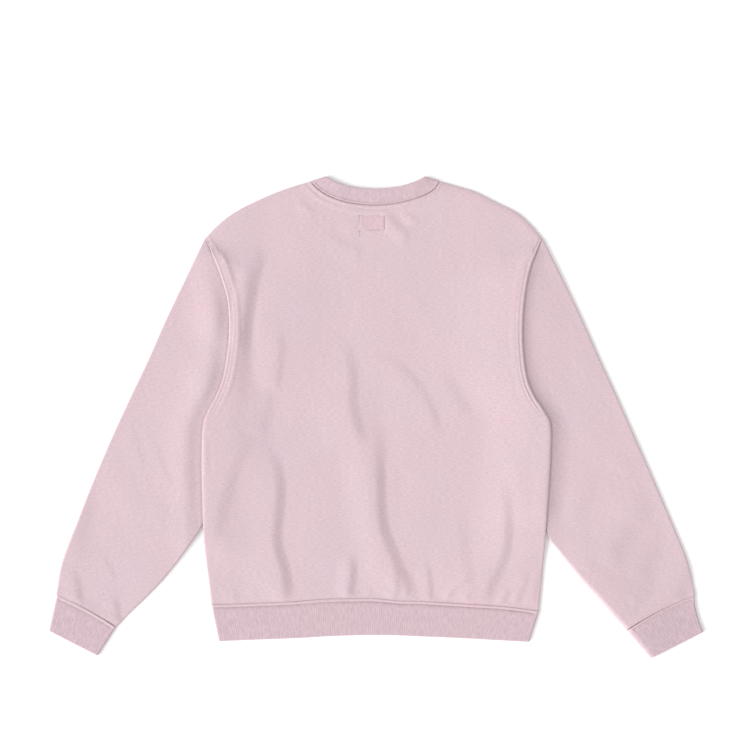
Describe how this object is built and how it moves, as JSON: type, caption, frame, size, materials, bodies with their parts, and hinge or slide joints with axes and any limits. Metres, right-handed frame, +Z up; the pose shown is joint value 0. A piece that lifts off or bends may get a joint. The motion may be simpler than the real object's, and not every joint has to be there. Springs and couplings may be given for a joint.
{
  "type": "crewneck sweatshirt",
  "caption": "Long-sleeved crewneck sweatshirt with ribbed collar, cuffs and hem band, laid flat with its back up.",
  "frame": {"origin": "centre of the garment's outline, on the surface that it lies on", "axes": "+X to the right as seen from above, +Y towards the collar, +Z up, out of the back panel"},
  "size_m": [0.9971, 0.7333, 0.0112],
  "materials": {
    "fleece": "pale pink cotton sweatshirt knit, plain jersey outside and brushed inside, matt with a soft fuzz",
    "rib": "pale pink 2x2 cotton rib, folded double, matt"
  },
  "bodies": {
    "root": {"front": "fleece", "back": "fleece", "sleeve_left": "fleece", "sleeve_right": "fleece", "cuff_left": "rib", "cuff_right": "rib", "hem_band": "rib", "collar": "rib"}
  },
  "joints": []
}
